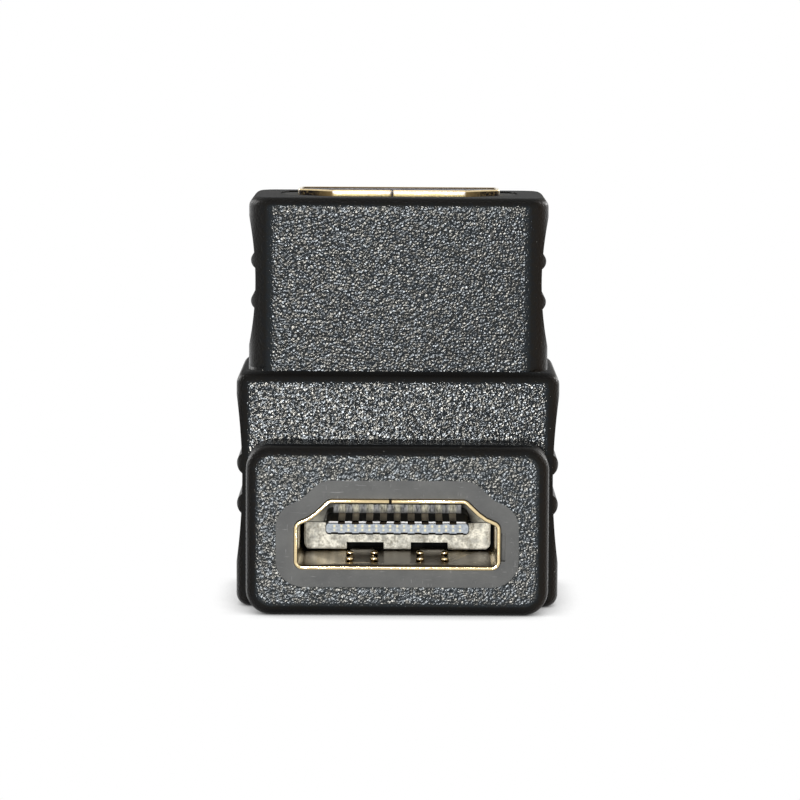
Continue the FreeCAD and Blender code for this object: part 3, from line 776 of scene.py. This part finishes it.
# %% [markdown]
# ## Pale insulators
# The insulators are an off-white heat-proof plastic. Every part of them has its own
# look, so a place on one is given by three lengths in the socket's own frame: the
# depth behind the rim, the height above the socket's middle towards its narrow side,
# and the distance sideways from the middle. These are the depths where the parts meet.

# %% Place marks on the insulators
TIP, BEVEL, ROOT, BASE = 1.2, 1.36, 5.84, 7.65


def near(tree, source, place, reach):
    """1 where a value lies within about reach of a place; returns the socket."""
    off = maths(tree, "ABSOLUTE", minus(tree, source, place))
    return band(tree, off, reach * 1.4, reach * 0.6)


def waves(tree, per_mm):
    """Waves from -1 to 1 across the insulator, so many in a millimetre."""
    return maths(tree, "COSINE", times(tree, coordinate(tree, "X"), per_mm * 2 * math.pi))


print("tip, bevel, root and base behind the rim:", TIP, BEVEL, ROOT, BASE)

# %% [markdown]
# ## The outline of the tip
# The flat tip of the tongue shows as a bluish pill with rounded ends and a dark
# outline, which is painted shade. The pill could be a face of its own. As a distance
# from a middle line, the way rounded boxes are drawn, its width and its corners can be
# set apart.

# %% Draw the pill
PILL_HALF_WIDTH, PILL_MIDDLE, PILL_HALF_HEIGHT, PILL_CORNER = 5.12, 0.29, 0.41, 0.34


def pill_share(tree, height, aside):
    """1 inside the pill, 0 outside; returns the socket."""
    across = minus(tree, aside, PILL_HALF_WIDTH - PILL_CORNER)
    upwards = maths(tree, "ABSOLUTE", minus(tree, height, PILL_MIDDLE))
    upwards = minus(tree, upwards, PILL_HALF_HEIGHT - PILL_CORNER)
    squares = [maths(tree, "POWER", maths(tree, "MAXIMUM", part, 0.0), 2.0) for part in (across, upwards)]
    return band(tree, maths(tree, "SQRT", plus(tree, *squares)), PILL_CORNER, PILL_CORNER - 0.04)


print("pill in mm:", 2 * PILL_HALF_WIDTH, "by", 2 * PILL_HALF_HEIGHT)

# %% [markdown]
# ## The colour of the tip
# Two faint rows of yellowish dots on the tip, half a millimetre apart, are where the
# contacts sit. Each row is a wave across the tongue, cut off to a narrow band of height.

# %% Colour the tip
TIP_BLUE, TIP_PALE = (0.24, 0.27, 0.31), (0.44, 0.48, 0.52)
TIP_DOT, OUTLINE_SHADE = (0.72, 0.66, 0.45), (0.012, 0.012, 0.012)
DOT_ROWS, DOT_REACH, DOTS_HALF_WIDTH, DOTS_PER_MM = (0.46, 0.18), 0.085, 4.8, 2


def tip_tone(tree, patches, height, aside):
    """Colour of the tongue's flat tip."""
    cool = blend(tree, patches, 0.3, 0.7, TIP_BLUE, TIP_PALE)
    rows = maths(tree, "MAXIMUM", *[near(tree, height, row, DOT_REACH) for row in DOT_ROWS])
    dots = times(tree, band(tree, waves(tree, DOTS_PER_MM), 0.2, 0.9), rows)
    dots = times(tree, dots, band(tree, aside, DOTS_HALF_WIDTH, DOTS_HALF_WIDTH - 0.1))
    faint = band(tree, noise(tree, 0.45, detail=1.0), 0.2, 0.5)
    dotted = mixed(tree, times(tree, dots, faint), cool, TIP_DOT)
    # Outside the pill the tip's edges are painted dark as shade.
    return mixed(tree, pill_share(tree, height, aside), OUTLINE_SHADE, dotted)


print("rows of dots at heights:", DOT_ROWS)

# %% [markdown]
# ## The root of the tongue
# The thick root has a pale streak for each contact and fades to a painted shade of
# black where it meets the tongue. The streaks run lengthwise, so their noise is
# stretched that way.

# %% Colour the root
STREAK_DARK, STREAK_PALE = (0.1, 0.095, 0.07), (0.52, 0.49, 0.37)
GAP_DARK, GAP_PALE = (0.03, 0.03, 0.03), (0.26, 0.26, 0.26)
ROOT_SHADE, ROOT_FADE = (0.015, 0.014, 0.012), (0.74, 1.1)
STREAKS_PER_MM = 1


def root_tone(tree, height):
    """Colour of the tongue's root."""
    grain = noise(tree, 0.14, detail=3.0, rough=0.6, stretch=(1, 0.3, 0.3))
    streak = blend(tree, grain, 0.35, 0.62, STREAK_DARK, STREAK_PALE)
    gap = blend(tree, grain, 0.35, 0.62, GAP_DARK, GAP_PALE)
    tone = mixed(tree, band(tree, waves(tree, STREAKS_PER_MM), -0.6, 0.8), gap, streak)
    return mixed(tree, band(tree, height, *ROOT_FADE), ROOT_SHADE, tone)


print("streaks in a mm, like the contacts:", STREAKS_PER_MM)

# %% [markdown]
# ## The base of the socket
# The base at the bottom is sandy cream with stains. Its two upper corners, above a thin
# dark joint, get a painted shade from the slanted walls. One even cream would look like
# new card, so broad stains and fine patches are laid over each other.

# %% Colour the base
JOINT_HEIGHT = -0.14
SAND_DARK, SAND_PALE, STAIN = (0.46, 0.45, 0.4), (0.86, 0.83, 0.72), (0.25, 0.23, 0.18)
CORNER_SHADE_DARK, CORNER_SHADE_PALE, CORNER_STAIN = (0.07, 0.066, 0.055), (0.36, 0.345, 0.28), (0.05, 0.05, 0.04)
JOINT = (0.03, 0.028, 0.022)
CORNER_START, CORNER_END = 5.2, 6.3


def base_tone(tree, patches, height, aside):
    """Colour of the insulator's base."""
    sand = blend(tree, noise(tree, 0.8, detail=2.0), 0.38, 0.55, SAND_DARK, SAND_PALE)
    smudges = noise(tree, 0.42, detail=3.0, rough=0.65, stretch=(1, 0.6, 0.6))
    cream = mixed(tree, band(tree, plus(tree, smudges, patches), 0.7, 1.12), STAIN, sand)
    # Painted shade in the two upper corners.
    corner = blend(tree, aside, CORNER_START, CORNER_END, CORNER_SHADE_DARK, CORNER_SHADE_PALE)
    corner = mixed(tree, times(tree, band(tree, patches, 0.5, 0.35), 0.5), corner, CORNER_STAIN)
    tone = mixed(tree, band(tree, height, JOINT_HEIGHT, JOINT_HEIGHT + 0.04), cream, corner)
    in_corner = band(tree, aside, CORNER_START, CORNER_START + 0.1)
    joint = times(tree, near(tree, height, JOINT_HEIGHT, 0.035), in_corner)
    return mixed(tree, joint, tone, JOINT)


print("the joint lies at height", JOINT_HEIGHT)

# %% [markdown]
# ## The bevel and the flanks of the tongue
# The narrow bevel behind the tip gets a painted highlight: it shows between the
# contacts' noses, painted black as shade, as a row of small bright dashes. The highlight
# lies only towards the narrow side, and the rest of the bevel gets the painted shade of
# the dark outline. The flanks behind the bevel get painted shade too. The dashes could
# be drawn one by one, but the noses stand in front of a plain strip of painted highlight
# and cut it up by themselves.

# %% Colour the bevel and the flanks
DASH_HIGHLIGHT, BEVEL_SHADE = (0.95, 0.95, 0.95), (0.012, 0.012, 0.014)
FLANK_SHADE_DARK, FLANK_SHADE_PALE = (0.028, 0.028, 0.026), (0.06, 0.06, 0.058)
DASH_FOOT, DASH_ENDS = (0.5, 0.6), (4.95, 4.85)  # heights and distances sideways


def bevel_highlight_and_shade(tree, depth, height, aside):
    """Painted highlight and painted shade on the bevel behind the tip."""
    white = times(tree, band(tree, height, *DASH_FOOT), band(tree, aside, *DASH_ENDS))
    white = times(tree, white, band(tree, depth, TIP + 0.05, TIP + 0.07))
    return mixed(tree, white, BEVEL_SHADE, DASH_HIGHLIGHT)


def flank_shade(tree, patches):
    """Painted shade on the tongue's flanks."""
    return blend(tree, patches, 0.3, 0.7, FLANK_SHADE_DARK, FLANK_SHADE_PALE)


print("bevel in mm:", round(BEVEL - TIP, 2))

# %% [markdown]
# ## Both insulators
# The parts are put together by depth. The flanks of the tongue are rougher than the
# rest, so that they stay dark when seen at a slant. Both insulators share one recipe,
# turned by the lines that it is given.

# %% Dress the insulators
def make_insulator_finish(name, depth_line, height_line):
    """The finish of the insulator whose depth and height run along two lines."""
    material, tree, shader = start_material(name)
    depth, height = along(tree, *depth_line), along(tree, *height_line)
    aside = distance_aside(tree)
    patches = noise(tree, 0.16, detail=3.0, rough=0.6)
    behind_bevel = band(tree, depth, BEVEL, BEVEL + 0.02)
    on_bevel = times(tree, band(tree, depth, TIP + 0.01, TIP + 0.02), band(tree, depth, BEVEL + 0.02, BEVEL))
    tone = tip_tone(tree, patches, height, aside)
    tone = mixed(tree, on_bevel, tone, bevel_highlight_and_shade(tree, depth, height, aside))
    tone = mixed(tree, behind_bevel, tone, flank_shade(tree, patches))
    tone = mixed(tree, band(tree, depth, ROOT - 0.03, ROOT - 0.01), tone, root_tone(tree, height))
    base = base_tone(tree, patches, height, aside)
    tone = mixed(tree, band(tree, depth, BASE - 0.03, BASE - 0.01), tone, base)
    tree.links.new(tone, shader.inputs["Base Color"])
    on_flank = times(tree, behind_bevel, band(tree, depth, ROOT - 0.01, ROOT - 0.03))
    tree.links.new(plus(tree, times(tree, on_flank, 0.5), 0.4), shader.inputs["Roughness"])
    shader.inputs["Specular IOR Level"].default_value = 0.12
    bump(tree, shader, patches, 0.02)
    return material


for end, depth_line, height_line in (("front", FRONT_DEPTH, FRONT_HEIGHT), ("top", TOP_DEPTH, TOP_HEIGHT)):
    plastic = make_insulator_finish(f"{end}_insulator_plastic", depth_line, height_line)
    dress(nodes[f"{end}_insulator"], plastic)
    print("finish:", plastic.name)

# %% [markdown]
# ## Circuit board
# The board joins the two sockets' contacts inside the case. It is sealed in, but every
# piece gets a finish, here the usual green mask over a woven core.

# %% Dress the board
MASK_DARK, MASK_GREEN = (0.02, 0.1, 0.04), (0.035, 0.15, 0.06)


def make_board_finish():
    material, tree, shader = start_material("green_board")
    tone = blend(tree, noise(tree, 0.6, detail=4.0), 0.3, 0.7, MASK_DARK, MASK_GREEN)
    tree.links.new(tone, shader.inputs["Base Color"])
    shader.inputs["Roughness"].default_value = 0.35
    return material


board_finish = make_board_finish()
dress(nodes["circuit_board"], board_finish)
print("finish:", board_finish.name)

# %% [markdown]
# ## Who sees white
# The photograph's background is plain white. More light would do that, but it would
# wash out the object too. Instead the floor and the world are white only for rays
# that come from the camera, or by way of a mirror or glass.

# %% Find the rays that see white
def seen(tree):
    """1 for rays from the camera, a mirror or glass, 0 for others; returns the socket."""
    rays = tree.nodes.new("ShaderNodeLightPath")
    share = rays.outputs["Is Camera Ray"]
    for other in ("Is Glossy Ray", "Is Transmission Ray"):
        share = maths(tree, "MAXIMUM", share, rays.outputs[other])
    return share


print("helper made: seen")

# %% [markdown]
# ## Floor
# The adapter stands on a plain floor. Its white is its own colour, with a painted
# shadow along the foot, dimmed where the adapter hides the nearby open sky.
# Other rays see an ordinary pale floor.

# %% Make the floor
FLOOR_GREY, SHADOW_GREY, WHITE = (0.85, 0.85, 0.85), (0.03, 0.03, 0.03), (1, 1, 1)
SHADOW_REACH = 4


def make_floor_finish():
    material = bpy.data.materials.new("pale_floor")
    material.use_nodes = True
    tree = material.node_tree
    shader = tree.nodes["Principled BSDF"]
    shader.inputs["Base Color"].default_value = (*FLOOR_GREY, 1)
    shader.inputs["Roughness"].default_value = 0.9
    shader.inputs["Specular IOR Level"].default_value = 0.1
    open_sky = tree.nodes.new("ShaderNodeAmbientOcclusion")
    open_sky.inputs["Distance"].default_value = SHADOW_REACH * MM
    open_sky.samples = 8
    white = tree.nodes.new("ShaderNodeEmission")
    # Painted shadow: the white is dimmed by an occlusion reading near the adapter.
    tree.links.new(blend(tree, open_sky.outputs["AO"], 0.0, 0.75, SHADOW_GREY, WHITE), white.inputs["Color"])
    mix = tree.nodes.new("ShaderNodeMixShader")
    tree.links.new(seen(tree), mix.inputs["Fac"])
    tree.links.new(shader.outputs["BSDF"], mix.inputs[1])
    tree.links.new(white.outputs["Emission"], mix.inputs[2])
    tree.links.new(mix.outputs["Shader"], tree.nodes["Material Output"].inputs["Surface"])
    return material


bpy.ops.object.select_all(action="DESELECT")
bpy.ops.mesh.primitive_plane_add(size=3.0, location=(0, 0, 0))
floor = bpy.context.object
floor.name = "floor"
dress(floor, make_floor_finish())
print("floor in m:", floor.dimensions.x)

# %% [markdown]
# ## Background
# The world is white where it is seen and dim where it lights, so the fillets of the
# black case stay dark and the metal still mirrors white.

# %% Make the world
AMBIENT = 0.1
world = bpy.data.worlds.new("white_studio")
bpy.context.scene.world = world
world.use_nodes = True
background = world.node_tree.nodes["Background"]
background.inputs["Color"].default_value = (*WHITE, 1)
level = maths(world.node_tree, "MAXIMUM", seen(world.node_tree), AMBIENT)
world.node_tree.links.new(level, background.inputs["Strength"])
print("world:", world.name, "lights at", AMBIENT)

# %% [markdown]
# ## Lamps
# The key lamp is a square of light close to the lens, low and a little to the left,
# as in a macro studio: only near the lens does it make the grains glint. Two lamps
# behind the object and one above it light its back, sides and top for the other
# views, and hardly reach its front.

# %% Hang the lamps
MIDDLE = Vector((0, 0, 15))
LAMP_DISTANCE = 440


def lamp(name, azimuth, elevation, size_mm, watts):
    """A square lamp that looks at the object's middle; azimuth 0 is in front."""
    data = bpy.data.lights.new(name, "AREA")
    data.shape = "SQUARE"
    data.size = size_mm * MM
    data.energy = watts
    made = bpy.data.objects.new(name, data)
    bpy.context.scene.collection.objects.link(made)
    turn, rise = math.radians(azimuth), math.radians(elevation)
    away = Vector((math.sin(turn) * math.cos(rise), -math.cos(turn) * math.cos(rise), math.sin(rise)))
    made.location = (MIDDLE + away * LAMP_DISTANCE) * MM
    made.rotation_mode = "QUATERNION"
    made.rotation_quaternion = away.to_track_quat("Z", "Y")
    print(name, "watts:", watts)


lamp("key_lamp", -5, 1.5, 60, 1.98)
lamp("back_left_lamp", -135, 20, 140, 0.45)
lamp("back_right_lamp", 135, 20, 140, 0.65)
lamp("top_lamp", 180, 76, 200, 0.35)

# %% [markdown]
# ## View
# The Standard view shows a colour as it is written. The softer default would grey
# the white background.

# %% Set the view
bpy.context.scene.view_settings.view_transform = "Standard"
print("view:", bpy.context.scene.view_settings.view_transform)
